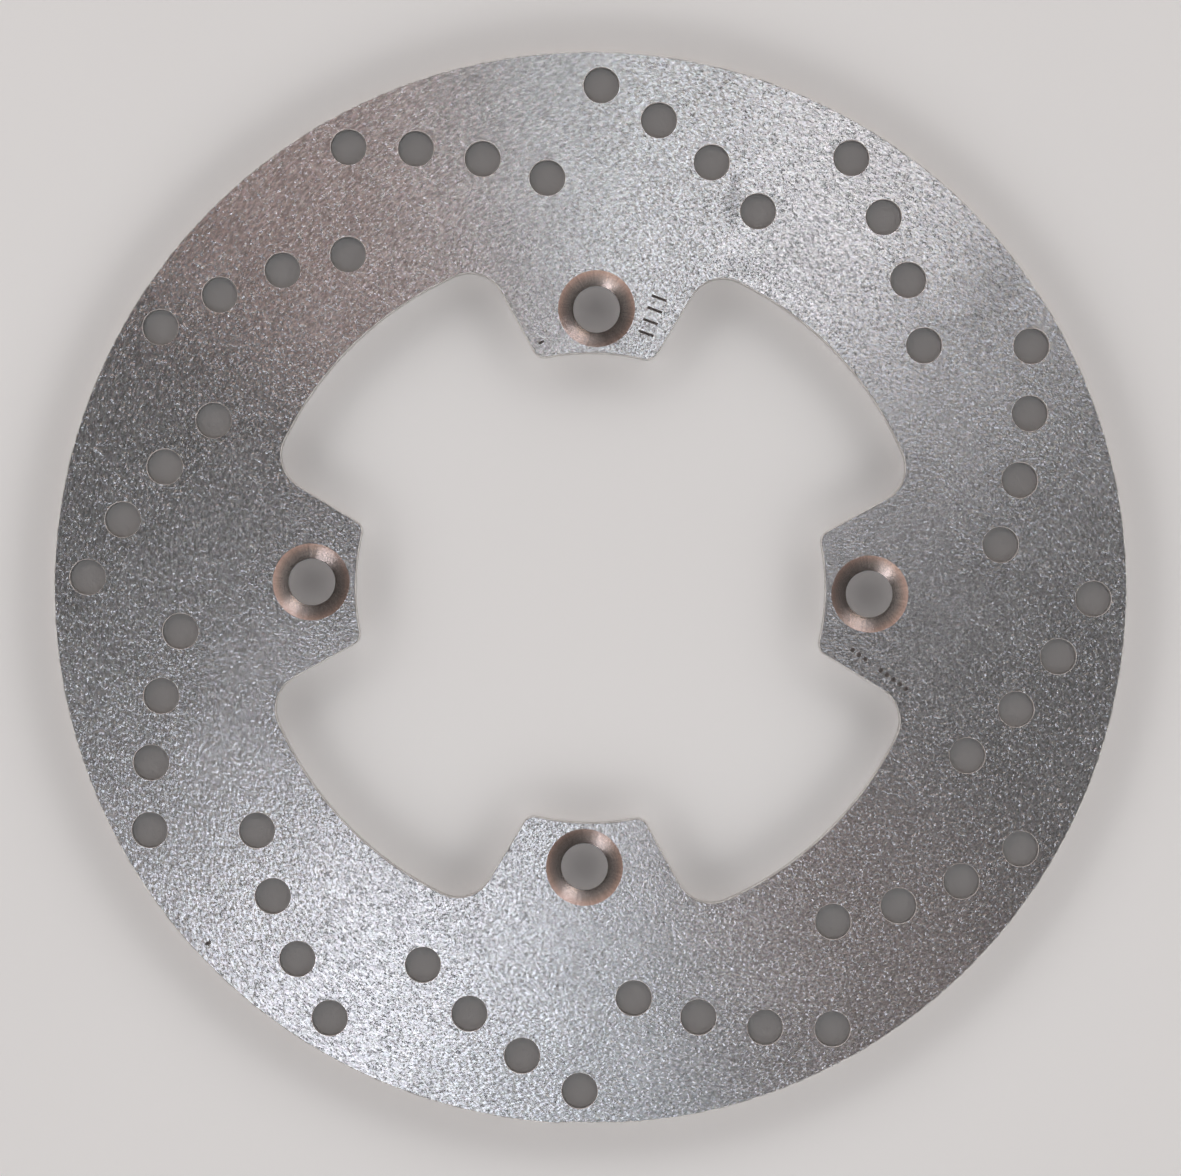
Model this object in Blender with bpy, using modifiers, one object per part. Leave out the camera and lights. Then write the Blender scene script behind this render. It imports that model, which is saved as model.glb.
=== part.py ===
"""Motorcycle brake disc rotor: one ground stainless steel plate, lying flat.

The hub-side face is the plane Z = 0 and the rotor turns about Z. The countersunk outer face looks up. The plate
is one piece: a brake ring with four ears that reach inwards to the hub. Each ear has a countersunk bolt hole, and
the ring is drilled with twelve swept rows of vent holes.
"""

import math

import bmesh
import bpy

# The plate, in metres
DISC_RADIUS = 0.120
THICKNESS = 0.005

# The hub's side: the ears' tips sit on the pilot circle, and the pockets between them end at the brake ring
EARS = 4
PILOT_RADIUS = 0.0525
POCKET_RADIUS = 0.076
BOLT_CIRCLE_RADIUS = 0.0625
EAR_HALF_WIDTH_AT_BOLT = 0.0195
EAR_FLANK_ANGLE = math.radians(30)
TIP_CORNER_RADIUS = 0.0028
ROOT_FILLET_RADIUS = 0.008

# The bolt holes, with a countersink in the outer face
BOLT_HOLE_RADIUS = 0.00525
COUNTERSINK_RADIUS = 0.0086
COUNTERSINK_HALF_ANGLE = math.radians(45)

# The vent holes: each row steps inwards and sweeps clockwise as seen from the outer face
VENT_ROWS = 12
VENTS_PER_ROW = 4
VENT_HOLE_RADIUS = 0.004
OUTER_VENT_CIRCLE_RADIUS = 0.1125
VENT_RADIAL_PITCH = 0.00675
VENT_SWEEP_PER_RADIAL_TRAVEL = 2.0

# How finely round edges are cut into straight lengths
RIM_SEGMENTS = 192
VENT_SEGMENTS = 20
BOLT_HOLE_SEGMENTS = 40
TIP_ARC_STEPS = 4
CORNER_STEPS = 4
FILLET_STEPS = 7
POCKET_ARC_STEPS = 8

CUTTER_OVERRUN = 0.001
WELD_DISTANCE = 1e-6


def start_empty():
    """Clears whatever the file holds."""
    for old in list(bpy.data.objects):
        bpy.data.objects.remove(old, do_unlink=True)


def new_collection(name):
    collection = bpy.data.collections.new(name)
    bpy.context.scene.collection.children.link(collection)
    return collection


def ground_steel():
    material = bpy.data.materials.new("ground_stainless_steel")
    material.use_nodes = True
    shader = material.node_tree.nodes["Principled BSDF"]
    shader.inputs["Base Color"].default_value = (0.56, 0.54, 0.54, 1.0)
    shader.inputs["Metallic"].default_value = 1.0
    shader.inputs["Roughness"].default_value = 0.36
    return material


def arc(centre_x, centre_y, radius, start, end, steps):
    """Points along an arc from angle start to angle end, both of them included."""
    points = []
    for step in range(steps + 1):
        angle = start + (end - start) * step / steps
        points.append((centre_x + radius * math.cos(angle), centre_y + radius * math.sin(angle)))
    return points


def centre_beside_flank(offset, distance_from_axis):
    """Centre of a circle that lies offset to the left of an ear's flank and that far from the rotor's axis.

    The flank is a straight line through (BOLT_CIRCLE_RADIUS, EAR_HALF_WIDTH_AT_BOLT), for an ear along +X.
    """
    along_x = math.cos(EAR_FLANK_ANGLE)
    along_y = math.sin(EAR_FLANK_ANGLE)
    start_x = BOLT_CIRCLE_RADIUS - offset * along_y
    start_y = EAR_HALF_WIDTH_AT_BOLT + offset * along_x
    nearest = -(start_x * along_x + start_y * along_y)
    start_squared = start_x**2 + start_y**2
    travel = nearest + math.sqrt(nearest**2 - start_squared + distance_from_axis**2)
    return start_x + travel * along_x, start_y + travel * along_y


def half_ear_outline():
    """From the middle of an ear's tip to the middle of the next pocket, anticlockwise, for an ear along +X."""
    across_flank = EAR_FLANK_ANGLE + math.pi / 2
    tip_x, tip_y = centre_beside_flank(-TIP_CORNER_RADIUS, PILOT_RADIUS + TIP_CORNER_RADIUS)
    root_x, root_y = centre_beside_flank(ROOT_FILLET_RADIUS, POCKET_RADIUS - ROOT_FILLET_RADIUS)
    tip_angle = math.atan2(tip_y, tip_x)
    root_angle = math.atan2(root_y, root_x)
    middle_of_pocket = math.pi / EARS
    outline = arc(0, 0, PILOT_RADIUS, 0, tip_angle, TIP_ARC_STEPS)
    outline += arc(tip_x, tip_y, TIP_CORNER_RADIUS, tip_angle + math.pi, across_flank, CORNER_STEPS)[1:]
    outline += arc(root_x, root_y, ROOT_FILLET_RADIUS, across_flank - math.pi, root_angle, FILLET_STEPS)
    outline += arc(0, 0, POCKET_RADIUS, root_angle, middle_of_pocket, POCKET_ARC_STEPS)[1:]
    return outline


def turned(points, angle):
    cosine, sine = math.cos(angle), math.sin(angle)
    return [(x * cosine - y * sine, x * sine + y * cosine) for x, y in points]


def window_outline():
    """The whole inner edge: each ear is a half outline and its mirror image, and the ears are alike."""
    half = half_ear_outline()
    mirrored = [(x, -y) for x, y in reversed(half)]
    ear = mirrored[1:-1] + half
    outline = []
    for index in range(EARS):
        outline += turned(ear, index * 2 * math.pi / EARS)
    return outline


def add_closed_line(curve, points):
    spline = curve.splines.new("POLY")
    spline.points.add(len(points) - 1)
    for point, (x, y) in zip(spline.points, points):
        point.co = (x, y, 0, 1)
    spline.use_cyclic_u = True


def make_plate(collection, material):
    """The blank: its outline and window are a flat curve, given its thickness and made a mesh."""
    curve = bpy.data.curves.new("rotor_outline", "CURVE")
    curve.dimensions = "2D"
    curve.fill_mode = "BOTH"
    curve.extrude = THICKNESS / 2
    rim = arc(0, 0, DISC_RADIUS, 0, 2 * math.pi, RIM_SEGMENTS)
    add_closed_line(curve, rim[:-1])
    add_closed_line(curve, window_outline())
    outline = bpy.data.objects.new("rotor_outline", curve)
    outline.location.z = THICKNESS / 2
    collection.objects.link(outline)
    bpy.context.view_layer.update()

    graph = bpy.context.evaluated_depsgraph_get()
    mesh = bpy.data.meshes.new_from_object(outline.evaluated_get(graph))
    welder = bmesh.new()
    welder.from_mesh(mesh)
    bmesh.ops.remove_doubles(welder, verts=welder.verts, dist=WELD_DISTANCE)
    welder.to_mesh(mesh)
    welder.free()
    mesh.name = "rotor_disc"
    mesh.materials.clear()
    mesh.materials.append(material)
    for face in mesh.polygons:
        face.use_smooth = abs(face.normal.z) < 0.5

    plate = bpy.data.objects.new("rotor_disc", mesh)
    plate.matrix_world = outline.matrix_world
    collection.objects.link(plate)
    bpy.data.objects.remove(outline)
    bpy.data.curves.remove(curve)
    return plate


def make_cutter(name, mesh, collection, x, y):
    cutter = bpy.data.objects.new(name, mesh)
    cutter.location = (x, y, 0)
    cutter.hide_render = True
    cutter.display_type = "WIRE"
    collection.objects.link(cutter)
    return cutter


def vent_drill_mesh():
    """A cylinder that passes through the plate and a little beyond it on both sides."""
    mesh = bpy.data.meshes.new("vent_drill")
    drill = bmesh.new()
    bmesh.ops.create_cone(
        drill,
        cap_ends=True,
        segments=VENT_SEGMENTS,
        radius1=VENT_HOLE_RADIUS,
        radius2=VENT_HOLE_RADIUS,
        depth=THICKNESS + 2 * CUTTER_OVERRUN,
    )
    bmesh.ops.translate(drill, verts=drill.verts, vec=(0, 0, THICKNESS / 2))
    drill.to_mesh(mesh)
    drill.free()
    for face in mesh.polygons:
        face.use_smooth = abs(face.normal.z) < 0.5
    return mesh


def vent_places():
    """Name, radius and angle of each vent hole. A row follows a spiral that crosses every radius alike."""
    for row in range(VENT_ROWS):
        for step in range(VENTS_PER_ROW):
            radius = OUTER_VENT_CIRCLE_RADIUS - step * VENT_RADIAL_PITCH
            sweep = VENT_SWEEP_PER_RADIAL_TRAVEL * math.log(radius / OUTER_VENT_CIRCLE_RADIUS)
            yield f"vent_{row + 1:02d}_{step + 1}", radius, row * 2 * math.pi / VENT_ROWS + sweep


def make_vent_drills(collection):
    mesh = vent_drill_mesh()
    for name, radius, angle in vent_places():
        make_cutter(name, mesh, collection, radius * math.cos(angle), radius * math.sin(angle))


def bolt_drill_profile_mesh():
    """Half the section of a bolt hole with its countersink, from the top of the hole's axis to the bottom."""
    slope = math.tan(COUNTERSINK_HALF_ANGLE)
    above = THICKNESS + CUTTER_OVERRUN
    cone_foot = THICKNESS - (COUNTERSINK_RADIUS - BOLT_HOLE_RADIUS) / slope
    profile = [
        (0, above),
        (COUNTERSINK_RADIUS + CUTTER_OVERRUN * slope, above),
        (BOLT_HOLE_RADIUS, cone_foot),
        (BOLT_HOLE_RADIUS, -CUTTER_OVERRUN),
        (0, -CUTTER_OVERRUN),
    ]
    mesh = bpy.data.meshes.new("bolt_drill")
    points = [(x, 0, z) for x, z in profile]
    edges = [(index, index + 1) for index in range(len(points) - 1)]
    mesh.from_pydata(points, edges, [])
    return mesh


def make_bolt_drills(collection):
    mesh = bolt_drill_profile_mesh()
    for index in range(EARS):
        angle = index * 2 * math.pi / EARS
        x, y = BOLT_CIRCLE_RADIUS * math.cos(angle), BOLT_CIRCLE_RADIUS * math.sin(angle)
        drill = make_cutter(f"bolt_hole_{index + 1}", mesh, collection, x, y)
        screw = drill.modifiers.new("turned", "SCREW")
        screw.steps = BOLT_HOLE_SEGMENTS
        screw.render_steps = BOLT_HOLE_SEGMENTS
        screw.use_merge_vertices = True
        screw.merge_threshold = WELD_DISTANCE
        screw.use_smooth_shade = True


def main():
    start_empty()
    parts = new_collection("brake_disc_rotor")
    drills = new_collection("drills")
    plate = make_plate(parts, ground_steel())
    make_vent_drills(drills)
    make_bolt_drills(drills)
    drilled = plate.modifiers.new("drilled", "BOOLEAN")
    drilled.operation = "DIFFERENCE"
    drilled.operand_type = "COLLECTION"
    drilled.collection = drills
    drilled.solver = "EXACT"


main()
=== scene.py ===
"""The looks of a drilled motorcycle brake rotor: a ground stainless plate on a plain pale floor.

The file is laid out as an add-on and is run as a script. One operator makes the rotor plate, with its
rounded edges, drilled vents, countersunk bolt holes and punch marks, and another makes the floor, lights
and camera.
"""

import math

import bmesh
import bpy
from bpy.props import FloatProperty, FloatVectorProperty, IntProperty, PointerProperty
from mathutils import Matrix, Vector
from mathutils.noise import noise as noise_at


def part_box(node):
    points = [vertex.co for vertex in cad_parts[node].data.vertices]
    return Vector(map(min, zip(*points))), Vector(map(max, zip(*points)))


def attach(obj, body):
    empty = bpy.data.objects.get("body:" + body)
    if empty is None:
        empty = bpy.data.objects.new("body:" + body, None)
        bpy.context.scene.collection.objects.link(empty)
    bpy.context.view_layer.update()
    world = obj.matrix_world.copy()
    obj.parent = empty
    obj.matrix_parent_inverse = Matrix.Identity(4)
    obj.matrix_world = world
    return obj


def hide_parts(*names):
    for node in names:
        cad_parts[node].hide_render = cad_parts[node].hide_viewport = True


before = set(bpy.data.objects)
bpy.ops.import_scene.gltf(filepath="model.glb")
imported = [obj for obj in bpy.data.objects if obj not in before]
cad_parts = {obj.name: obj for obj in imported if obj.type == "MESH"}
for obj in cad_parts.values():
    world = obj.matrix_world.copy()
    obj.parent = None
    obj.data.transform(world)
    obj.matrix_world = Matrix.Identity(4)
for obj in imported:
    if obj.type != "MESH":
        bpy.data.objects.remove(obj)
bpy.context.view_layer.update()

bl_info = {
    "name": "Drilled Brake Rotor",
    "version": (1, 0, 0),
    "blender": (4, 5, 0),
    "location": "View3D > Sidebar > Rotor",
    "description": "Makes a drilled, ground steel brake rotor and a plain stage for it",
    "category": "Add Mesh",
}

CAD_NODE = "rotor_disc"
PLATE_LOW, PLATE_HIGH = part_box(CAD_NODE)

MM = 0.001
FULL_TURN = 2 * math.pi
CUTTER_OVERRUN = 1 * MM
WELD_DISTANCE = 1e-7
FLAT = 0.999
HAIR = 0.001 * MM

# How finely round edges are cut into straight lengths
RIM_STEPS = 1440
TIP_ARC_STEPS = 12
CORNER_STEPS = 10
FILLET_STEPS = 20
POCKET_ARC_STEPS = 24
VENT_SEGMENTS = 48
BOLT_HOLE_SEGMENTS = 96
ROUND_MARK_SEGMENTS = 16

# Ripples of the burred stretch of rim, for each radian round the axis
COARSE_BURRS = 90
FINE_BURRS = 260

# Rows of punch marks in the outer face, all in millimetres and degrees: first mark's place, heading of the
# row, count, spacing, half length and half width of a mark, heading of a mark
PUNCH_MARK_ROWS = (
    ((11.2, 57.2), 71, 4, 2.8, 1.75, 0.32, -19),
    ((58.9, -12.6), -35, 3, 1.75, 0.55, 0.55, 0),
    ((65.3, -17.0), -35, 5, 1.75, 0.55, 0.55, 0),
    ((-83.8, -81.3), 0, 1, 1.0, 0.75, 0.45, 25),
    ((-12.2, 54.7), 0, 1, 1.0, 0.65, 0.30, 30),
)

# Old stains on the outer face, in millimetres: centre, half width, half height and strength
STAINS = (
    (30.1, 86.9, 2.6, 7.0, 0.36),
    (88.2, 69.0, 9.0, 11.0, 0.20),
    (83.0, 60.0, 9.0, 7.0, 0.12),
    (33.5, 72.3, 6.0, 3.5, 0.15),
)

# A light scratch across the ground faces, in millimetres, and how much brighter than the steel it is
SCRATCH_START = Vector((-80.2, 13.5, 0.0))
SCRATCH_END = Vector((-60.5, 19.8, 0.0))
SCRATCH_HALF_WIDTH = 0.14
SCRATCH_STRENGTH = 0.35

# The ground faces. The colour of their strokes runs round a point to one side of the rotor's axis
GRINDER_CENTRE = (30 * MM, -10 * MM, 0.0)
GRAIN_HEIGHT_FACTOR = 7.0
GRAIN_TURN = (0.7, 0.4, 0.3)
GROUND_ROUGHNESS = 0.26
MOTTLE_SCALE = 70.0
SPECKLE_TINT = 0.08
FLECK_THRESHOLD = 0.58
FLECK_HEIGHT = 3.0
FLECK_NOISE_STEP = (7.0, 43.0, 11.0)
SPECKLE_NOISE_STEP = (31.0, 17.0, 5.0)

# The turned countersinks
TURNED_ROUGHNESS = 0.145
TURNED_ANISOTROPY = 0.85
TURNING_PITCH = 0.12 * MM
TURNING_DEPTH = 0.002 * MM
STREAKS_ROUND_HOLE = 26.0
CHATTER_ROUND_HOLE = 14.0

# The cut edges and the drilled walls
CUT_LINE_SCALE = 2600.0
CUT_LINE_DEPTH = 0.02 * MM
DRILL_RING_SCALE = 3500.0
DRILL_RING_DEPTH = 0.01 * MM

FLOOR_GAP = 0.05 * MM
FLOOR_ROUGHNESS = 0.85
LIGHT_DISTANCE = 1.3

# The world light, by height: 0 is the horizon and 1 is straight overhead
BAND_STRENGTH = 2.9
BAND_TOP = 0.35
DIM_FROM = 0.62
DIM_STRENGTH = 0.05
HORIZON_COLOUR = (0.30, 0.19, 0.15, 1.0)
HORIZON_TOP = 0.1
UPPER_COLOUR = (1.0, 0.99, 0.98, 1.0)
UPPER_FROM = 0.25


# ---------------------------------------------------------------------------------------------- settings


class RotorSizes(bpy.types.PropertyGroup):
    """Sizes of the rotor plate. Diameters are given as radii."""

    disc_radius: FloatProperty(
        name="Disc Radius",
        description="Outside radius of the plate",
        default=PLATE_HIGH.x,
        unit="LENGTH",
    )
    thickness: FloatProperty(
        name="Thickness",
        description="Thickness of the plate, hub side to outer face",
        default=PLATE_HIGH.z - PLATE_LOW.z,
        unit="LENGTH",
    )
    edge_round: FloatProperty(
        name="Edge Round",
        description="Radius of the rounding along the plate's outer and inner edges",
        default=0.25 * MM,
        unit="LENGTH",
    )
    ears: IntProperty(
        name="Ears",
        description="Number of ears that reach inwards to the hub, each with a bolt hole",
        default=4,
        min=2,
    )
    pilot_radius: FloatProperty(
        name="Pilot Radius",
        description="Radius of the circle that the ears' tips lie on",
        default=52.5 * MM,
        unit="LENGTH",
    )
    pocket_radius: FloatProperty(
        name="Pocket Radius",
        description="Radius of the circle that the pockets between the ears reach out to",
        default=76 * MM,
        unit="LENGTH",
    )
    ear_half_width: FloatProperty(
        name="Ear Half Width",
        description="Half the width of an ear, measured at its bolt hole",
        default=19.5 * MM,
        unit="LENGTH",
    )
    flank_angle: FloatProperty(
        name="Flank Angle",
        description="Angle between an ear's flank and its centre line",
        default=math.radians(30),
        unit="ROTATION",
    )
    tip_corner_radius: FloatProperty(
        name="Tip Corner Radius",
        description="Radius of the corners of an ear's tip",
        default=2.8 * MM,
        unit="LENGTH",
    )
    root_fillet_radius: FloatProperty(
        name="Root Fillet Radius",
        description="Radius of the fillet where an ear's flank runs into the pocket",
        default=8 * MM,
        unit="LENGTH",
    )
    bolt_circle_radius: FloatProperty(
        name="Bolt Circle Radius",
        description="Radius of the circle through the bolt holes",
        default=62.5 * MM,
        unit="LENGTH",
    )
    bolt_hole_radius: FloatProperty(
        name="Bolt Hole Radius",
        description="Radius of each bolt hole",
        default=5.25 * MM,
        unit="LENGTH",
    )
    countersink_radius: FloatProperty(
        name="Countersink Radius",
        description="Radius of the countersink's rim, in the outer face",
        default=8.6 * MM,
        unit="LENGTH",
    )
    vent_rows: IntProperty(
        name="Vent Rows",
        description="Number of rows of vent holes",
        default=12,
        min=1,
    )
    vents_per_row: IntProperty(
        name="Vents per Row",
        description="Number of vent holes in each row",
        default=4,
        min=1,
    )
    vent_radius: FloatProperty(
        name="Vent Radius",
        description="Radius of each vent hole",
        default=4 * MM,
        unit="LENGTH",
    )
    vent_circle_radius: FloatProperty(
        name="Outer Vent Circle Radius",
        description="Radius of the circle through the outermost hole of every row",
        default=112.5 * MM,
        unit="LENGTH",
    )
    vent_pitch: FloatProperty(
        name="Vent Pitch",
        description="How much nearer to the axis each hole of a row lies than the last",
        default=6.75 * MM,
        unit="LENGTH",
    )
    vent_sweep: FloatProperty(
        name="Vent Sweep",
        description="Travel round the axis for each unit of travel towards it, along a row",
        default=2.0,
    )
    burr_start: FloatProperty(
        name="Burr Start",
        description="Where the burred stretch of the rim starts, anticlockwise from +X",
        default=math.radians(267.2),
        unit="ROTATION",
    )
    burr_length: FloatProperty(
        name="Burr Length",
        description="Length of the burred stretch, along the rim",
        default=28 * MM,
        unit="LENGTH",
    )
    burr_depth: FloatProperty(
        name="Burr Depth",
        description="How far the rim is worn back along the burred stretch",
        default=0.8 * MM,
        unit="LENGTH",
    )
    mark_depth: FloatProperty(
        name="Mark Depth",
        description="Depth of the punch marks",
        default=0.3 * MM,
        unit="LENGTH",
    )
    vent_edge_break: FloatProperty(
        name="Hole Edge Break",
        description="Width of the small chamfer at both ends of each hole",
        default=0.08 * MM,
        unit="LENGTH",
    )


class RotorFinish(bpy.types.PropertyGroup):
    """Colours of the rotor's steel and the strength of its ground grain."""

    ground_colour: FloatVectorProperty(
        name="Ground Steel",
        description="Colour of the ground faces",
        default=(0.58, 0.57, 0.575),
        subtype="COLOR",
        min=0,
        max=1,
    )
    # The turned steel's own colour plus a painted reflection: made darker and pinker than the ground steel
    # to stand for the warm, dark surroundings that the cones reflect
    cone_colour_and_painted_reflection: FloatVectorProperty(
        name="Turned Steel",
        description="Colour of the turned countersinks",
        default=(0.42, 0.375, 0.355),
        subtype="COLOR",
        min=0,
        max=1,
    )
    cut_colour: FloatVectorProperty(
        name="Cut Steel",
        description="Colour of the plate's cut edges",
        default=(0.55, 0.54, 0.53),
        subtype="COLOR",
        min=0,
        max=1,
    )
    mark_colour: FloatVectorProperty(
        name="Mark",
        description="Colour at the bottom of the punch marks",
        default=(0.11, 0.095, 0.09),
        subtype="COLOR",
        min=0,
        max=1,
    )
    grain_contrast: FloatProperty(
        name="Grain Contrast",
        description="How much lighter and darker the ground grain is than the steel round it",
        default=0.28,
        min=0,
    )
    grain_length: FloatProperty(
        name="Grain Length",
        description="Length of the grain's short strokes, along the grinding",
        default=0.95 * MM,
        unit="LENGTH",
    )
    grain_width: FloatProperty(
        name="Grain Width",
        description="Width of the grain's short strokes, across the grinding",
        default=0.52 * MM,
        unit="LENGTH",
    )
    grain_depth: FloatProperty(
        name="Grain Depth",
        description="Height of the grain's relief",
        default=0.041 * MM,
        unit="LENGTH",
    )


class RotorStage(bpy.types.PropertyGroup):
    """Floor, light and camera."""

    floor_colour: FloatVectorProperty(
        name="Floor",
        description="Colour of the plain floor",
        default=(0.90, 0.885, 0.88),
        subtype="COLOR",
        min=0,
        max=1,
    )
    floor_size: FloatProperty(
        name="Floor Size",
        description="Side of the square floor",
        default=6.0,
        unit="LENGTH",
    )
    camera_distance: FloatProperty(
        name="Camera Distance",
        description="Distance from the camera to the plate's outer face",
        default=1.25,
        unit="LENGTH",
    )
    view_width: FloatProperty(
        name="View Width",
        description="Width of what the camera sees at the plate's outer face",
        default=264.13 * MM,
        unit="LENGTH",
    )
    camera_roll: FloatProperty(
        name="Camera Roll",
        description="Anticlockwise turn of the camera about its line of sight",
        default=math.radians(1.24),
        unit="ROTATION",
    )


# ---------------------------------------------------------------------------------------- node tree help


def add_node(tree, kind, inputs=(), **settings):
    """A new node. Its settings are set first, then each input is linked to a socket or set to a value."""
    node = tree.nodes.new(kind)
    for name, value in settings.items():
        setattr(node, name, value)
    for key, value in dict(inputs).items():
        if isinstance(value, bpy.types.NodeSocket):
            tree.links.new(value, node.inputs[key])
        else:
            node.inputs[key].default_value = value
    return node


def calculate(tree, operation, *values):
    """The result of one step of arithmetic on sockets and numbers."""
    return add_node(tree, "ShaderNodeMath", enumerate(values), operation=operation).outputs[0]


def calculate_vector(tree, operation, *values):
    node = add_node(tree, "ShaderNodeVectorMath", enumerate(values), operation=operation)
    return node.outputs["Value" if operation in {"LENGTH", "DOT_PRODUCT"} else "Vector"]


def scaled_vector(tree, vector, scale):
    inputs = {"Vector": vector, "Scale": scale}
    return add_node(tree, "ShaderNodeVectorMath", inputs, operation="SCALE").outputs["Vector"]


def joined_vector(tree, x, y, z):
    return add_node(tree, "ShaderNodeCombineXYZ", {"X": x, "Y": y, "Z": z}).outputs["Vector"]


def split_vector(tree, vector):
    node = add_node(tree, "ShaderNodeSeparateXYZ", {"Vector": vector})
    return node.outputs["X"], node.outputs["Y"], node.outputs["Z"]


def mapped(tree, value, from_low, from_high, to_low, to_high, shape="LINEAR"):
    """A value carried from one range to another, and held at the ends."""
    inputs = {
        "Value": value,
        "From Min": from_low,
        "From Max": from_high,
        "To Min": to_low,
        "To Max": to_high,
    }
    return add_node(tree, "ShaderNodeMapRange", inputs, interpolation_type=shape).outputs["Result"]


# -------------------------------------------------------------------------------------- the plate's shape


def arc(centre_x, centre_y, radius, start, end, steps):
    """Points along an arc from angle start to angle end, both of them included."""
    points = []
    for step in range(steps + 1):
        angle = start + (end - start) * step / steps
        points.append((centre_x + radius * math.cos(angle), centre_y + radius * math.sin(angle)))
    return points


def centre_beside_flank(sizes, offset, distance_from_axis):
    """Centre of a circle, offset to the left of an ear's flank and at a given distance from the axis."""
    along = Vector((math.cos(sizes.flank_angle), math.sin(sizes.flank_angle)))
    left = Vector((-along.y, along.x))
    start = Vector((sizes.bolt_circle_radius, sizes.ear_half_width)) + left * offset
    nearest = -start.dot(along)
    travel = nearest + math.sqrt(nearest**2 - start.length_squared + distance_from_axis**2)
    return start + along * travel


def half_ear_outline(sizes):
    """Half an ear along +X, anticlockwise from the middle of its tip to the middle of the next pocket."""
    across_flank = sizes.flank_angle + math.pi / 2
    tip_radius, root_radius = sizes.tip_corner_radius, sizes.root_fillet_radius
    tip = centre_beside_flank(sizes, -tip_radius, sizes.pilot_radius + tip_radius)
    root = centre_beside_flank(sizes, root_radius, sizes.pocket_radius - root_radius)
    tip_angle = math.atan2(tip.y, tip.x)
    root_angle = math.atan2(root.y, root.x)
    outline = arc(0, 0, sizes.pilot_radius, 0, tip_angle, TIP_ARC_STEPS)
    outline += arc(tip.x, tip.y, tip_radius, tip_angle + math.pi, across_flank, CORNER_STEPS)[1:]
    outline += arc(root.x, root.y, root_radius, across_flank - math.pi, root_angle, FILLET_STEPS)
    outline += arc(0, 0, sizes.pocket_radius, root_angle, math.pi / sizes.ears, POCKET_ARC_STEPS)[1:]
    return outline


def window_outline(sizes):
    """The whole inner edge: each ear is a half outline and its mirror image, and the ears are alike."""
    half = half_ear_outline(sizes)
    ear = [(x, -y) for x, y in reversed(half)][1:-1] + half
    outline = []
    for index in range(sizes.ears):
        angle = index * FULL_TURN / sizes.ears
        cosine, sine = math.cos(angle), math.sin(angle)
        outline += [(x * cosine - y * sine, x * sine + y * cosine) for x, y in ear]
    return outline


def rim_outline(sizes):
    """The outer edge: a circle, but for a burred stretch where the rim has been nicked and worn back."""
    start, end = sizes.burr_start, sizes.burr_start + sizes.burr_length / sizes.disc_radius
    outline = []
    for step in range(RIM_STEPS):
        angle = step * FULL_TURN / RIM_STEPS
        radius = sizes.disc_radius - HAIR
        if start < angle < end:
            fade = min(1.0, 6 * (angle - start) / (end - start), 1.5 * (end - angle) / (end - start))
            coarse = noise_at(Vector((angle * COARSE_BURRS, 3.0, 0.0)))
            fine = noise_at(Vector((angle * FINE_BURRS, 9.0, 0.0)))
            radius -= sizes.burr_depth * fade * max(0.0, 0.45 + 0.6 * coarse + 0.5 * fine)
        outline.append((radius * math.cos(angle), radius * math.sin(angle)))
    return outline


def add_closed_line(curve, points):
    spline = curve.splines.new("POLY")
    spline.points.add(len(points) - 1)
    for point, (x, y) in zip(spline.points, points):
        point.co = (x, y, 0, 1)
    spline.use_cyclic_u = True


def make_blank(sizes):
    """The undrilled plate, with rounded edges, as a mesh object in the middle of its own thickness."""
    curve = bpy.data.curves.new("rotor_outline", "CURVE")
    curve.dimensions = "2D"
    curve.fill_mode = "BOTH"
    curve.extrude = sizes.thickness / 2 - sizes.edge_round
    curve.bevel_depth = sizes.edge_round
    curve.bevel_resolution = 2
    curve.offset = -sizes.edge_round
    add_closed_line(curve, rim_outline(sizes))
    add_closed_line(curve, window_outline(sizes))
    outline = bpy.data.objects.new("rotor_outline", curve)
    bpy.context.scene.collection.objects.link(outline)
    bpy.context.view_layer.update()

    graph = bpy.context.evaluated_depsgraph_get()
    mesh = bpy.data.meshes.new_from_object(outline.evaluated_get(graph))
    bpy.data.objects.remove(outline)
    bpy.data.curves.remove(curve)
    welder = bmesh.new()
    welder.from_mesh(mesh)
    bmesh.ops.translate(welder, verts=welder.verts, vec=(0, 0, sizes.thickness / 2))
    bmesh.ops.remove_doubles(welder, verts=welder.verts, dist=WELD_DISTANCE)
    bmesh.ops.recalc_face_normals(welder, faces=welder.faces)
    welder.to_mesh(mesh)
    welder.free()
    mesh.name = "rotor_plate"
    blank = bpy.data.objects.new("rotor_plate", mesh)
    bpy.context.scene.collection.objects.link(blank)
    return blank


# ------------------------------------------------------------------------- drilling, with Geometry Nodes


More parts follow.
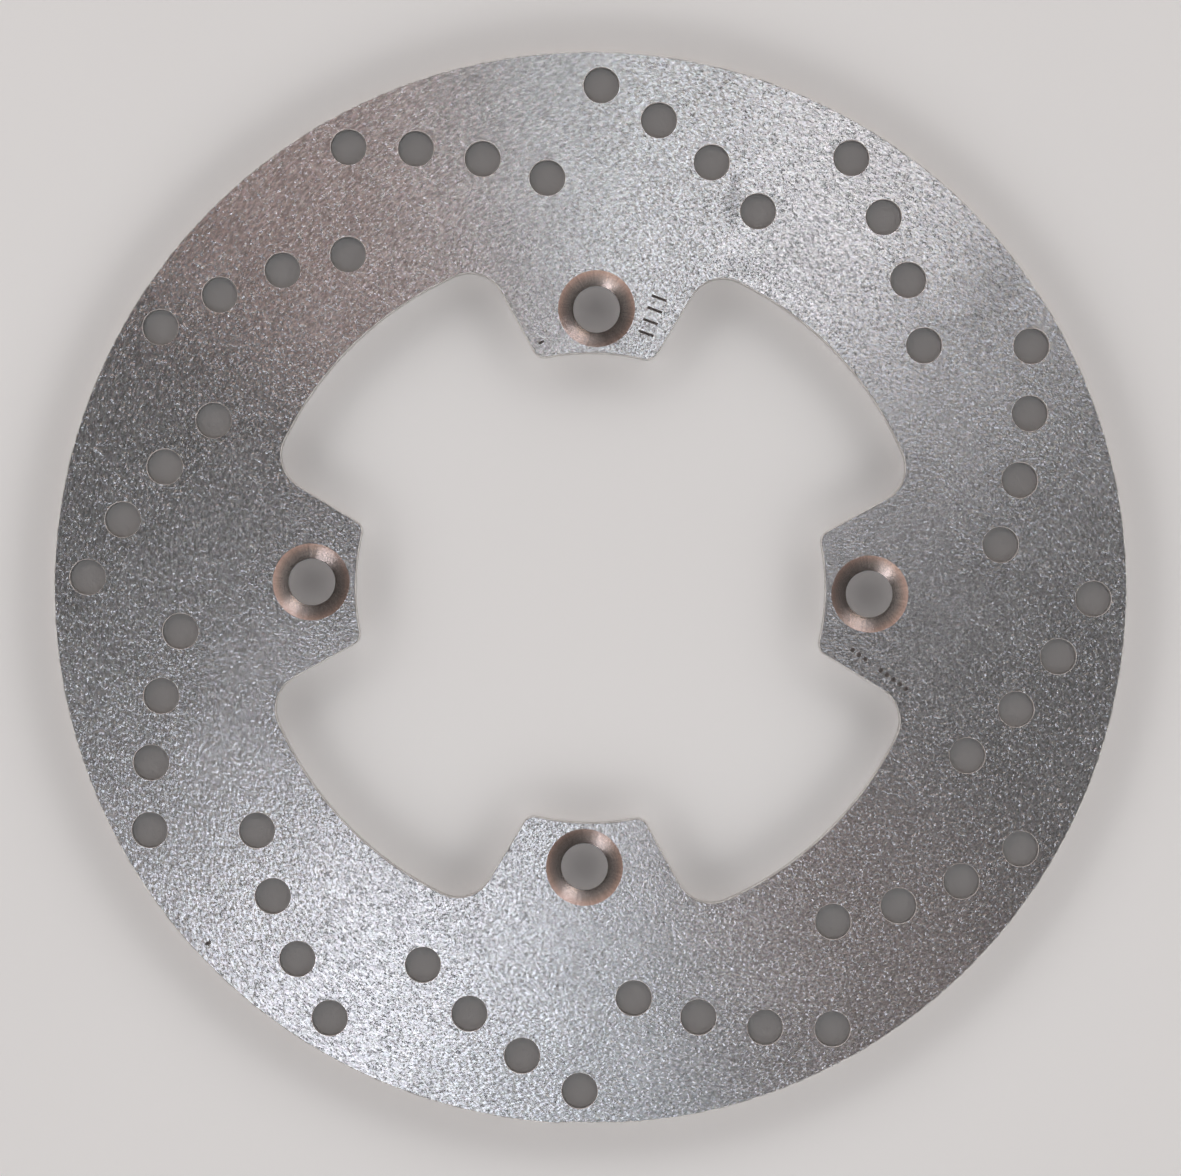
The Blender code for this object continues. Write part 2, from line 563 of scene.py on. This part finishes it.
def add_drill(tree, segments, levels, material):
    """A drill: a cylinder whose rings are moved to the given heights and radii, bottom to top."""
    steps = len(levels) - 1
    cylinder = add_node(
        tree,
        "GeometryNodeMeshCylinder",
        {"Vertices": segments, "Side Segments": steps, "Radius": 1.0, "Depth": float(steps)},
    )
    position = add_node(tree, "GeometryNodeInputPosition").outputs[0]
    x, y, z = split_vector(tree, position)
    from_bottom = calculate(tree, "ROUND", calculate(tree, "ADD", z, steps / 2))
    ring = add_node(tree, "FunctionNodeFloatToInt", {0: from_bottom}).outputs[0]
    picked = []
    for which in (0, 1):
        switch = add_node(tree, "GeometryNodeIndexSwitch", data_type="FLOAT")
        while len(switch.index_switch_items) < len(levels):
            switch.index_switch_items.new()
        tree.links.new(ring, switch.inputs["Index"])
        for number, level in enumerate(levels):
            socket = switch.inputs[number + 1]
            if isinstance(level[which], bpy.types.NodeSocket):
                tree.links.new(level[which], socket)
            else:
                socket.default_value = level[which]
        picked.append(switch.outputs[0])
    height, radius = picked
    place = joined_vector(
        tree, calculate(tree, "MULTIPLY", x, radius), calculate(tree, "MULTIPLY", y, radius), height
    )
    moved = add_node(
        tree, "GeometryNodeSetPosition", {"Geometry": cylinder.outputs["Mesh"], "Position": place}
    )
    painted = add_node(
        tree, "GeometryNodeSetMaterial", {"Geometry": moved.outputs[0], "Material": material}
    )
    return painted.outputs[0]


def add_spiral_points(tree, rows, per_row, outer_radius, pitch, sweep):
    """Points in rows that step inwards and sweep round. One row of one is a plain circle of points."""
    index = add_node(tree, "GeometryNodeInputIndex").outputs[0]
    row = calculate(tree, "FLOOR", calculate(tree, "DIVIDE", calculate(tree, "ADD", index, 0.5), per_row))
    step = calculate(tree, "SUBTRACT", index, calculate(tree, "MULTIPLY", row, per_row))
    radius = calculate(tree, "SUBTRACT", outer_radius, calculate(tree, "MULTIPLY", step, pitch))
    inward = calculate(tree, "LOGARITHM", calculate(tree, "DIVIDE", radius, outer_radius), math.e)
    row_angle = calculate(tree, "MULTIPLY", row, calculate(tree, "DIVIDE", FULL_TURN, rows))
    angle = calculate(tree, "ADD", row_angle, calculate(tree, "MULTIPLY", inward, sweep))
    place = joined_vector(
        tree,
        calculate(tree, "MULTIPLY", radius, calculate(tree, "COSINE", angle)),
        calculate(tree, "MULTIPLY", radius, calculate(tree, "SINE", angle)),
        0.0,
    )
    count = calculate(tree, "MULTIPLY", rows, per_row)
    return add_node(tree, "GeometryNodePoints", {"Count": count, "Position": place}).outputs[0]


def add_instances(tree, points, instance, rotation=(0, 0, 0)):
    node = add_node(
        tree,
        "GeometryNodeInstanceOnPoints",
        {"Points": points, "Instance": instance, "Rotation": rotation},
    )
    return node.outputs[0]


def add_mark_row(tree, row, thickness, depth, material):
    """A row of alike punch marks: long ones have square ends, and short ones are round."""
    (start_x, start_y), heading, count, spacing, half_length, half_width, own_heading = row
    turn, own_turn = math.radians(heading), math.radians(own_heading)
    index = add_node(tree, "GeometryNodeInputIndex").outputs[0]
    step = (spacing * MM * math.cos(turn), spacing * MM * math.sin(turn), 0)
    along = calculate_vector(tree, "MULTIPLY", joined_vector(tree, index, index, 0.0), step)
    face = joined_vector(tree, start_x * MM, start_y * MM, thickness)
    place = calculate_vector(tree, "ADD", face, along)
    points = add_node(tree, "GeometryNodePoints", {"Count": count, "Position": place}).outputs[0]
    square = half_length > 2 * half_width
    punch = add_node(
        tree,
        "GeometryNodeMeshCone",
        {
            "Vertices": 4 if square else ROUND_MARK_SEGMENTS,
            "Radius Top": 2.0,
            "Radius Bottom": 0.0,
            "Depth": 2.0,
        },
    ).outputs["Mesh"]
    corner_turn = math.pi / 4 if square else 0
    lowered = {"Geometry": punch, "Translation": (0, 0, -1), "Rotation": (0, 0, corner_turn)}
    punch = add_node(tree, "GeometryNodeTransform", lowered).outputs[0]
    grow = math.sqrt(2) if square else 1.0
    size = joined_vector(tree, half_length * grow * MM, half_width * grow * MM, depth)
    sized = add_node(tree, "GeometryNodeTransform", {"Geometry": punch, "Scale": size}).outputs[0]
    painted = add_node(tree, "GeometryNodeSetMaterial", {"Geometry": sized, "Material": material})
    return add_instances(tree, points, painted.outputs[0], (0, 0, own_turn))


def build_drilling_tree():
    """Cuts vents, bolt holes and punch marks out of a blank plate that lies on Z = 0."""
    tree = bpy.data.node_groups.new("Drilled Rotor", "GeometryNodeTree")
    tree.is_modifier = True
    tree.interface.new_socket("Plate", in_out="INPUT", socket_type="NodeSocketGeometry")
    tree.interface.new_socket("Plate", in_out="OUTPUT", socket_type="NodeSocketGeometry")
    identifiers = {}
    for name, kind in (
        ("Thickness", "NodeSocketFloat"),
        ("Ears", "NodeSocketInt"),
        ("Bolt Circle Radius", "NodeSocketFloat"),
        ("Bolt Hole Radius", "NodeSocketFloat"),
        ("Countersink Radius", "NodeSocketFloat"),
        ("Vent Rows", "NodeSocketInt"),
        ("Vents per Row", "NodeSocketInt"),
        ("Vent Radius", "NodeSocketFloat"),
        ("Outer Vent Circle Radius", "NodeSocketFloat"),
        ("Vent Pitch", "NodeSocketFloat"),
        ("Vent Sweep", "NodeSocketFloat"),
        ("Hole Edge Break", "NodeSocketFloat"),
        ("Mark Depth", "NodeSocketFloat"),
        ("Ground Steel", "NodeSocketMaterial"),
        ("Turned Steel", "NodeSocketMaterial"),
        ("Drilled Steel", "NodeSocketMaterial"),
        ("Mark", "NodeSocketMaterial"),
    ):
        socket = tree.interface.new_socket(name, in_out="INPUT", socket_type=kind)
        identifiers[name] = socket.identifier
    given = add_node(tree, "NodeGroupInput").outputs

    def flared(radius):
        """Radius at the far end of a drill's flare, beyond the plate's face."""
        wider = calculate(tree, "ADD", radius, given["Hole Edge Break"])
        return calculate(tree, "ADD", wider, CUTTER_OVERRUN)

    below = -CUTTER_OVERRUN
    above = calculate(tree, "ADD", given["Thickness"], CUTTER_OVERRUN)
    flare_foot = calculate(tree, "SUBTRACT", given["Thickness"], given["Hole Edge Break"])
    vent_end = flared(given["Vent Radius"])
    vent_levels = [
        (below, vent_end),
        (given["Hole Edge Break"], given["Vent Radius"]),
        (flare_foot, given["Vent Radius"]),
        (above, vent_end),
    ]
    cone_depth = calculate(tree, "SUBTRACT", given["Countersink Radius"], given["Bolt Hole Radius"])
    bolt_levels = [
        (below, flared(given["Bolt Hole Radius"])),
        (given["Hole Edge Break"], given["Bolt Hole Radius"]),
        (calculate(tree, "SUBTRACT", given["Thickness"], cone_depth), given["Bolt Hole Radius"]),
        (above, calculate(tree, "ADD", given["Countersink Radius"], CUTTER_OVERRUN)),
    ]
    vent_points = add_spiral_points(
        tree,
        given["Vent Rows"],
        given["Vents per Row"],
        given["Outer Vent Circle Radius"],
        given["Vent Pitch"],
        given["Vent Sweep"],
    )
    bolt_points = add_spiral_points(tree, given["Ears"], 1, given["Bolt Circle Radius"], 0.0, 0.0)
    vent_drill = add_drill(tree, VENT_SEGMENTS, vent_levels, given["Drilled Steel"])
    vents = add_instances(tree, vent_points, vent_drill)
    bolt_drill = add_drill(tree, BOLT_HOLE_SEGMENTS, bolt_levels, given["Turned Steel"])
    bolts = add_instances(tree, bolt_points, bolt_drill)
    marks = [
        add_mark_row(tree, row, given["Thickness"], given["Mark Depth"], given["Mark"])
        for row in PUNCH_MARK_ROWS
    ]
    drills = add_node(tree, "GeometryNodeJoinGeometry")
    for piece in (bolts, vents, *marks):
        tree.links.new(piece, drills.inputs[0])
    cutters = add_node(tree, "GeometryNodeRealizeInstances", {"Geometry": drills.outputs[0]})
    cut = add_node(
        tree,
        "GeometryNodeMeshBoolean",
        {"Mesh 1": given["Plate"], "Mesh 2": cutters.outputs[0]},
        operation="DIFFERENCE",
        solver="EXACT",
    )
    normal = add_node(tree, "GeometryNodeInputNormal").outputs[0]
    upright = calculate(tree, "ABSOLUTE", split_vector(tree, normal)[2])
    is_face = calculate(tree, "GREATER_THAN", upright, FLAT)
    whole = add_node(tree, "GeometryNodeRealizeInstances", {"Geometry": cut.outputs["Mesh"]})
    painted = add_node(
        tree,
        "GeometryNodeSetMaterial",
        {"Geometry": whole.outputs[0], "Selection": is_face, "Material": given["Ground Steel"]},
    )
    add_node(tree, "NodeGroupOutput", {0: painted.outputs[0]})
    return tree, identifiers


def hole_centres(sizes):
    """Centres of the bolt holes and of the vent holes."""
    places = [(sizes.bolt_circle_radius, ear * FULL_TURN / sizes.ears) for ear in range(sizes.ears)]
    for row in range(sizes.vent_rows):
        for step in range(sizes.vents_per_row):
            radius = sizes.vent_circle_radius - step * sizes.vent_pitch
            sweep = sizes.vent_sweep * math.log(radius / sizes.vent_circle_radius)
            places.append((radius, row * FULL_TURN / sizes.vent_rows + sweep))
    return [Vector((radius * math.cos(angle), radius * math.sin(angle))) for radius, angle in places]


def smooth_round_holes(mesh, sizes, hole_materials):
    """Gives every wall and cone of the holes the normals of a true round surface."""
    centres = hole_centres(sizes)
    normals = [corner.vector.copy() for corner in mesh.corner_normals]
    slots = {mesh.materials.find(material.name) for material in hole_materials}
    for face in mesh.polygons:
        if face.material_index not in slots:
            continue
        centre = min(centres, key=lambda place: (place - face.center.xy).length_squared)
        level = math.sqrt(max(0.0, 1 - face.normal.z**2))
        for corner in face.loop_indices:
            inward = centre - mesh.vertices[mesh.loops[corner].vertex_index].co.xy
            inward.normalize()
            normals[corner] = Vector((level * inward.x, level * inward.y, face.normal.z))
    mesh.normals_split_custom_set(normals)


def drill_plate(blank, sizes, materials):
    """Runs the drilling tree on the blank and returns the drilled plate as a plain mesh."""
    tree, identifiers = build_drilling_tree()
    drilling = blank.modifiers.new("drilling", "NODES")
    drilling.node_group = tree
    values = {
        "Thickness": sizes.thickness,
        "Ears": sizes.ears,
        "Bolt Circle Radius": sizes.bolt_circle_radius,
        "Bolt Hole Radius": sizes.bolt_hole_radius,
        "Countersink Radius": sizes.countersink_radius,
        "Vent Rows": sizes.vent_rows,
        "Vents per Row": sizes.vents_per_row,
        "Vent Radius": sizes.vent_radius,
        "Outer Vent Circle Radius": sizes.vent_circle_radius,
        "Vent Pitch": sizes.vent_pitch,
        "Vent Sweep": sizes.vent_sweep,
        "Hole Edge Break": sizes.vent_edge_break,
        "Mark Depth": sizes.mark_depth,
        "Ground Steel": materials["ground"],
        "Turned Steel": materials["turned"],
        "Drilled Steel": materials["drilled"],
        "Mark": materials["mark"],
    }
    for name, value in values.items():
        drilling[identifiers[name]] = value
    bpy.context.view_layer.update()
    graph = bpy.context.evaluated_depsgraph_get()
    mesh = bpy.data.meshes.new_from_object(blank.evaluated_get(graph))
    blank.modifiers.clear()
    undrilled = blank.data
    blank.data = mesh
    bpy.data.meshes.remove(undrilled)
    bpy.data.node_groups.remove(tree)
    mesh.name = "rotor_plate"
    mesh.set_sharp_from_angle(angle=math.radians(30))
    for face in mesh.polygons:
        face.use_smooth = abs(face.normal.z) < FLAT
    smooth_round_holes(mesh, sizes, (materials["turned"], materials["drilled"]))
    return blank


# ------------------------------------------------------------------------------------------- the finishes


def new_steel(name):
    """A new metal material: its tree and its shader."""
    material = bpy.data.materials.new(name)
    material.use_nodes = True
    shader = material.node_tree.nodes["Principled BSDF"]
    shader.inputs["Metallic"].default_value = 1.0
    return material, material.node_tree, shader


def object_place(tree):
    return add_node(tree, "ShaderNodeTexCoord").outputs["Object"]


def noise(tree, vector, scale=1.0, detail=2.0, roughness=0.5, output="Fac"):
    inputs = {"Vector": vector, "Scale": scale, "Detail": detail, "Roughness": roughness}
    return add_node(tree, "ShaderNodeTexNoise", inputs).outputs[output]


def around_axis(tree, vector):
    """Distance from the Z axis, the direction away from it, and the height."""
    x, y, z = split_vector(tree, vector)
    flat = joined_vector(tree, x, y, 0.0)
    return calculate_vector(tree, "LENGTH", flat), calculate_vector(tree, "NORMALIZE", flat), z


def ring_pattern_place(tree, radius, outward, z, typical_radius, length, width):
    """Coordinates in which one unit is length along a circle about the axis, and width across it."""
    along = scaled_vector(tree, outward, typical_radius / length)
    height = calculate(tree, "MULTIPLY_ADD", z, GRAIN_HEIGHT_FACTOR, radius)
    across = joined_vector(tree, 0.0, 0.0, calculate(tree, "DIVIDE", height, width))
    place = calculate_vector(tree, "ADD", along, across)
    turn = {"Vector": place, "Rotation": GRAIN_TURN}
    return add_node(tree, "ShaderNodeVectorRotate", turn, rotation_type="EULER_XYZ").outputs[0]


def stain_mask(tree, place):
    """How stained the face is: soft, ragged patches."""
    x, y, z = split_vector(tree, place)
    ragged = noise(tree, place, scale=220.0, detail=3.0, roughness=0.6)
    total = 0.0
    for centre_x, centre_y, half_width, half_height, strength in STAINS:
        from_centre = calculate(tree, "SUBTRACT", x, centre_x * MM)
        across = calculate(tree, "DIVIDE", from_centre, half_width * MM)
        above_centre = calculate(tree, "SUBTRACT", y, centre_y * MM)
        up = calculate(tree, "DIVIDE", above_centre, half_height * MM)
        distance = calculate_vector(tree, "LENGTH", joined_vector(tree, across, up, 0.0))
        distance = calculate(tree, "ADD", distance, mapped(tree, ragged, 0.3, 0.7, 0.45, -0.45))
        patch = mapped(tree, distance, 1.2, 0.1, 0.0, strength, "SMOOTHSTEP")
        total = calculate(tree, "ADD", patch, total)
    on_top = calculate(tree, "GREATER_THAN", z, 0.5 * (PLATE_LOW.z + PLATE_HIGH.z))
    return calculate(tree, "MULTIPLY", total, on_top)


def scratch_mask(tree, place):
    """1 on the scratch, and fading to 0 beside it and at its ends."""
    heading = SCRATCH_END - SCRATCH_START
    length = heading.length
    heading.normalize()
    sideways = Vector((-heading.y, heading.x, 0.0))
    from_start = calculate_vector(tree, "SUBTRACT", place, (*(SCRATCH_START * MM),))
    along = calculate_vector(tree, "DOT_PRODUCT", from_start, (*heading,))
    across = calculate(tree, "ABSOLUTE", calculate_vector(tree, "DOT_PRODUCT", from_start, (*sideways,)))
    beyond_middle = calculate(tree, "ABSOLUTE", calculate(tree, "SUBTRACT", along, length / 2 * MM))
    on_length = mapped(tree, beyond_middle, length * 0.3 * MM, length / 2 * MM, 1.0, 0.0)
    on_width = mapped(tree, across, 0.0, SCRATCH_HALF_WIDTH * MM, 1.0, 0.0)
    return calculate(tree, "MULTIPLY", on_length, on_width)


def make_ground_steel(sizes, finish):
    """Bright steel ground in circles: short strokes that glint one by one, over a soft mottle."""
    material, tree, shader = new_steel("ground_face")
    place = object_place(tree)
    radius, outward, z = around_axis(tree, place)
    middle = (sizes.disc_radius + sizes.pocket_radius) / 2
    grinder = calculate_vector(tree, "SUBTRACT", place, GRINDER_CENTRE)
    grinder_radius, grinder_outward, height = around_axis(tree, grinder)
    stroke_place = ring_pattern_place(
        tree, grinder_radius, grinder_outward, height, middle, finish.grain_length, finish.grain_width
    )
    glint_place = ring_pattern_place(
        tree, radius, outward, z, middle, finish.grain_length, finish.grain_width
    )
    strokes = noise(tree, stroke_place, detail=3.0, roughness=0.6)
    waves = noise(tree, glint_place, detail=1.0)
    flecks = noise(tree, calculate_vector(tree, "ADD", glint_place, FLECK_NOISE_STEP), detail=1.0)
    flecks = calculate(tree, "MAXIMUM", calculate(tree, "SUBTRACT", flecks, FLECK_THRESHOLD), 0.0)
    relief = calculate(tree, "MULTIPLY_ADD", flecks, FLECK_HEIGHT, waves)
    mottle = noise(tree, place, scale=MOTTLE_SCALE, detail=3.0)
    light = mapped(tree, strokes, 0.36, 0.64, 1 - finish.grain_contrast, 1 + finish.grain_contrast)
    soft = mapped(tree, mottle, 0.3, 0.7, 0.93, 1.07)
    light = calculate(tree, "MULTIPLY", light, soft)
    stain = stain_mask(tree, place)
    light = calculate(tree, "MULTIPLY", light, calculate(tree, "SUBTRACT", 1.0, stain))
    scratch = calculate(tree, "MULTIPLY_ADD", scratch_mask(tree, place), SCRATCH_STRENGTH, 1.0)
    light = calculate(tree, "MULTIPLY", light, scratch)
    speckle = noise(tree, calculate_vector(tree, "ADD", stroke_place, SPECKLE_NOISE_STEP), output="Color")
    tint = add_node(
        tree,
        "ShaderNodeMix",
        {"Factor": SPECKLE_TINT, 6: (0.5, 0.5, 0.5, 1.0), 7: speckle},
        data_type="RGBA",
    ).outputs[2]
    tint = scaled_vector(tree, tint, 2.0)
    steel = scaled_vector(tree, (*finish.ground_colour,), light)
    colour = calculate_vector(tree, "MULTIPLY", steel, tint)
    tree.links.new(colour, shader.inputs["Base Color"])
    shader.inputs["Roughness"].default_value = GROUND_ROUGHNESS
    bump = add_node(
        tree,
        "ShaderNodeBump",
        {"Strength": 1.0, "Distance": finish.grain_depth, "Height": relief},
    )
    tree.links.new(bump.outputs[0], shader.inputs["Normal"])
    tree.links.new(outward, shader.inputs["Tangent"])
    shader.inputs["Anisotropic"].default_value = 1.0
    return material


def make_turned_steel(sizes, finish):
    """Countersinks: turned about each bolt hole's own axis, with faint chatter across the turning marks."""
    material, tree, shader = new_steel("turned_countersink")
    x, y, z = split_vector(tree, object_place(tree))
    size_x = calculate(tree, "ABSOLUTE", x)
    size_y = calculate(tree, "ABSOLUTE", y)
    x_is_larger = calculate(tree, "GREATER_THAN", size_x, size_y)
    y_is_larger = calculate(tree, "SUBTRACT", 1.0, x_is_larger)
    reach_x = calculate(tree, "MULTIPLY", x_is_larger, sizes.bolt_circle_radius)
    reach_y = calculate(tree, "MULTIPLY", y_is_larger, sizes.bolt_circle_radius)
    centre_x = calculate(tree, "MULTIPLY", calculate(tree, "SIGN", x), reach_x)
    centre_y = calculate(tree, "MULTIPLY", calculate(tree, "SIGN", y), reach_y)
    from_hole = joined_vector(
        tree, calculate(tree, "SUBTRACT", x, centre_x), calculate(tree, "SUBTRACT", y, centre_y), z
    )
    radius, outward, z = around_axis(tree, from_hole)
    chatter_place = scaled_vector(tree, outward, CHATTER_ROUND_HOLE)
    chatter = noise(tree, chatter_place, detail=2.0, roughness=0.7)
    ring_place = joined_vector(tree, 0.0, 0.0, calculate(tree, "DIVIDE", radius, TURNING_PITCH))
    rings = noise(tree, ring_place, detail=1.0)
    streak_place = scaled_vector(tree, outward, STREAKS_ROUND_HOLE)
    streaks = noise(tree, streak_place, detail=3.0, roughness=0.7)
    ring_light = mapped(tree, rings, 0.3, 0.7, 0.86, 1.14)
    light = calculate(tree, "MULTIPLY", ring_light, mapped(tree, streaks, 0.35, 0.65, 0.84, 1.16))
    # Base colour: turned steel with a painted reflection of warm, dark surroundings, darker and pinker than
    # the ground steel, times the turning rings and chatter streaks
    tree.links.new(scaled_vector(tree, (*finish.cone_colour_and_painted_reflection,), light), shader.inputs["Base Color"])
    shader.inputs["Roughness"].default_value = TURNED_ROUGHNESS
    relief = calculate(tree, "MULTIPLY_ADD", rings, 0.2, chatter)
    bump = add_node(
        tree, "ShaderNodeBump", {"Strength": 1.0, "Distance": TURNING_DEPTH, "Height": relief}
    )
    tree.links.new(bump.outputs[0], shader.inputs["Normal"])
    tree.links.new(outward, shader.inputs["Tangent"])
    shader.inputs["Anisotropic"].default_value = TURNED_ANISOTROPY
    return material


def make_cut_steel(finish):
    """The plate's outer and inner edges: fine upright cutting lines."""
    material, tree, shader = new_steel("cut_edge")
    x, y, z = split_vector(tree, object_place(tree))
    line_place = joined_vector(tree, x, y, calculate(tree, "MULTIPLY", z, 0.1))
    lines = noise(tree, line_place, scale=CUT_LINE_SCALE, detail=3.0, roughness=0.6)
    light = mapped(tree, lines, 0.3, 0.7, 0.75, 1.2)
    tree.links.new(scaled_vector(tree, (*finish.cut_colour,), light), shader.inputs["Base Color"])
    tree.links.new(mapped(tree, lines, 0.3, 0.7, 0.5, 0.34), shader.inputs["Roughness"])
    bump = add_node(tree, "ShaderNodeBump", {"Strength": 1.0, "Distance": CUT_LINE_DEPTH, "Height": lines})
    tree.links.new(bump.outputs[0], shader.inputs["Normal"])
    return material


def make_drilled_steel(finish):
    """The vents' walls: fine rings left by the drill."""
    material, tree, shader = new_steel("drilled_wall")
    x, y, z = split_vector(tree, object_place(tree))
    ring_place = joined_vector(
        tree, calculate(tree, "MULTIPLY", x, 0.15), calculate(tree, "MULTIPLY", y, 0.15), z
    )
    rings = noise(tree, ring_place, scale=DRILL_RING_SCALE, detail=2.0)
    light = mapped(tree, rings, 0.3, 0.7, 0.8, 1.15)
    tree.links.new(scaled_vector(tree, (*finish.cut_colour,), light), shader.inputs["Base Color"])
    tree.links.new(mapped(tree, rings, 0.3, 0.7, 0.42, 0.3), shader.inputs["Roughness"])
    bump = add_node(tree, "ShaderNodeBump", {"Strength": 1.0, "Distance": DRILL_RING_DEPTH, "Height": rings})
    tree.links.new(bump.outputs[0], shader.inputs["Normal"])
    return material


def make_mark_finish(finish):
    """The bottoms of the punch marks, coloured dark with a faint mottle."""
    material, tree, shader = new_steel("punch_mark")
    stain = noise(tree, object_place(tree), scale=2000.0)
    tree.links.new(
        scaled_vector(tree, (*finish.mark_colour,), mapped(tree, stain, 0.3, 0.7, 0.6, 1.6)),
        shader.inputs["Base Color"],
    )
    tree.links.new(mapped(tree, stain, 0.3, 0.7, 0.7, 0.5), shader.inputs["Roughness"])
    shader.inputs["Metallic"].default_value = 0.4
    return material


# ----------------------------------------------------------------------------------------------- operators


class ROTOR_OT_make_plate(bpy.types.Operator):
    """Makes the drilled and ground rotor plate"""

    bl_idname = "rotor.make_plate"
    bl_label = "Make Rotor Plate"

    def execute(self, context):
        sizes, finish = context.scene.rotor_sizes, context.scene.rotor_finish
        materials = {
            "ground": make_ground_steel(sizes, finish),
            "turned": make_turned_steel(sizes, finish),
            "drilled": make_drilled_steel(finish),
            "mark": make_mark_finish(finish),
        }
        blank = make_blank(sizes)
        blank.data.materials.clear()
        blank.data.materials.append(make_cut_steel(finish))
        plate = drill_plate(blank, sizes, materials)
        if not plate.data.polygons:
            raise RuntimeError("the drilling left no rotor plate")
        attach(plate, "root")
        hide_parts(CAD_NODE)
        return {"FINISHED"}


def add_floor(stage):
    half = stage.floor_size / 2
    mesh = bpy.data.meshes.new("floor")
    corners = [(-half, -half, 0), (half, -half, 0), (half, half, 0), (-half, half, 0)]
    mesh.from_pydata(corners, [], [(0, 1, 2, 3)])
    floor = bpy.data.objects.new("floor", mesh)
    floor.location.z = PLATE_LOW.z - FLOOR_GAP
    bpy.context.scene.collection.objects.link(floor)
    material = bpy.data.materials.new("pale_floor")
    material.use_nodes = True
    tree = material.node_tree
    shader = tree.nodes["Principled BSDF"]
    shade = mapped(tree, noise(tree, object_place(tree), scale=6.0), 0.3, 0.7, 0.985, 1.015)
    tree.links.new(scaled_vector(tree, (*stage.floor_colour,), shade), shader.inputs["Base Color"])
    shader.inputs["Roughness"].default_value = FLOOR_ROUGHNESS
    mesh.materials.append(material)


def add_area_light(name, azimuth, from_zenith, size, power, colour):
    """A square light that points at the middle of the plate. Azimuth runs anticlockwise from +X."""
    light = bpy.data.lights.new(name, "AREA")
    light.energy = power
    light.color = colour
    light.shape = "SQUARE"
    light.size = size
    lamp = bpy.data.objects.new(name, light)
    flat = math.sin(from_zenith)
    direction = Vector((flat * math.cos(azimuth), flat * math.sin(azimuth), math.cos(from_zenith)))
    lamp.location = direction * LIGHT_DISTANCE
    lamp.rotation_euler = direction.to_track_quat("Z", "Y").to_euler()
    lamp.visible_camera = False
    bpy.context.scene.collection.objects.link(lamp)


def add_lights():
    """Two small lights beside the camera, on opposite sides of it, and three softer ones further out."""
    for name, azimuth, from_zenith, size, power, colour in (
        ("near_light", 240, 6, 0.05, 0.5, (0.85, 0.9, 1.0)),
        ("near_return", 60, 6, 0.05, 0.18, (1.0, 0.9, 0.8)),
        ("soft_above", 90, 12, 0.1, 0.15, (0.9, 1.0, 1.0)),
        ("soft_warm", 125, 20, 0.3, 0.28, (1.0, 0.6, 0.5)),
        ("soft_below", 270, 20, 0.3, 0.13, (0.6, 0.8, 1.0)),
    ):
        add_area_light(name, math.radians(azimuth), math.radians(from_zenith), size, power, colour)


def make_world():
    """Soft light from all round: dim overhead, bright in a band lower down, brown from the horizon down."""
    world = bpy.data.worlds.new("studio")
    world.use_nodes = True
    tree = world.node_tree
    direction = add_node(tree, "ShaderNodeTexCoord").outputs["Generated"]
    height = split_vector(tree, direction)[2]
    strength = mapped(tree, height, BAND_TOP, DIM_FROM, BAND_STRENGTH, DIM_STRENGTH, "SMOOTHSTEP")
    above_horizon = mapped(tree, height, HORIZON_TOP, UPPER_FROM, 0.0, 1.0, "SMOOTHSTEP")
    colour = add_node(
        tree,
        "ShaderNodeMix",
        {"Factor": above_horizon, 6: HORIZON_COLOUR, 7: UPPER_COLOUR},
        data_type="RGBA",
    ).outputs[2]
    background = tree.nodes["Background"]
    tree.links.new(colour, background.inputs["Color"])
    tree.links.new(strength, background.inputs["Strength"])
    bpy.context.scene.world = world


def add_camera(stage):
    camera = bpy.data.cameras.new("camera")
    camera.sensor_width = 36.0
    camera.lens = camera.sensor_width * stage.camera_distance / stage.view_width
    camera.clip_end = 20.0
    holder = bpy.data.objects.new("camera", camera)
    holder.location = (0, 0, PLATE_HIGH.z + stage.camera_distance)
    holder.rotation_euler = (0, 0, stage.camera_roll)
    bpy.context.scene.collection.objects.link(holder)
    bpy.context.scene.camera = holder


class ROTOR_OT_make_stage(bpy.types.Operator):
    """Makes the pale floor, the soft lights and the camera"""

    bl_idname = "rotor.make_stage"
    bl_label = "Make Stage"

    def execute(self, context):
        stage = context.scene.rotor_stage
        add_floor(stage)
        make_world()
        add_lights()
        add_camera(stage)
        if context.scene.camera is None:
            raise RuntimeError("the stage has no camera")
        context.scene.view_settings.view_transform = "Standard"
        return {"FINISHED"}


class ROTOR_PT_panel(bpy.types.Panel):
    """The rotor's settings, and the buttons that make it and its stage"""

    bl_idname = "ROTOR_PT_panel"
    bl_label = "Brake Rotor"
    bl_space_type = "VIEW_3D"
    bl_region_type = "UI"
    bl_category = "Rotor"

    def draw(self, context):
        for settings in (context.scene.rotor_sizes, context.scene.rotor_finish, context.scene.rotor_stage):
            box = self.layout.box()
            for name in settings.__annotations__:
                box.prop(settings, name)
        self.layout.operator(ROTOR_OT_make_plate.bl_idname)
        self.layout.operator(ROTOR_OT_make_stage.bl_idname)


CLASSES = (
    RotorSizes,
    RotorFinish,
    RotorStage,
    ROTOR_OT_make_plate,
    ROTOR_OT_make_stage,
    ROTOR_PT_panel,
)


def register():
    for cls in CLASSES:
        bpy.utils.register_class(cls)
    bpy.types.Scene.rotor_sizes = PointerProperty(type=RotorSizes)
    bpy.types.Scene.rotor_finish = PointerProperty(type=RotorFinish)
    bpy.types.Scene.rotor_stage = PointerProperty(type=RotorStage)


def unregister():
    del bpy.types.Scene.rotor_stage
    del bpy.types.Scene.rotor_finish
    del bpy.types.Scene.rotor_sizes
    for cls in reversed(CLASSES):
        bpy.utils.unregister_class(cls)


def main():
    register()
    bpy.ops.rotor.make_plate()
    bpy.ops.rotor.make_stage()


if __name__ == "__main__":
    main()
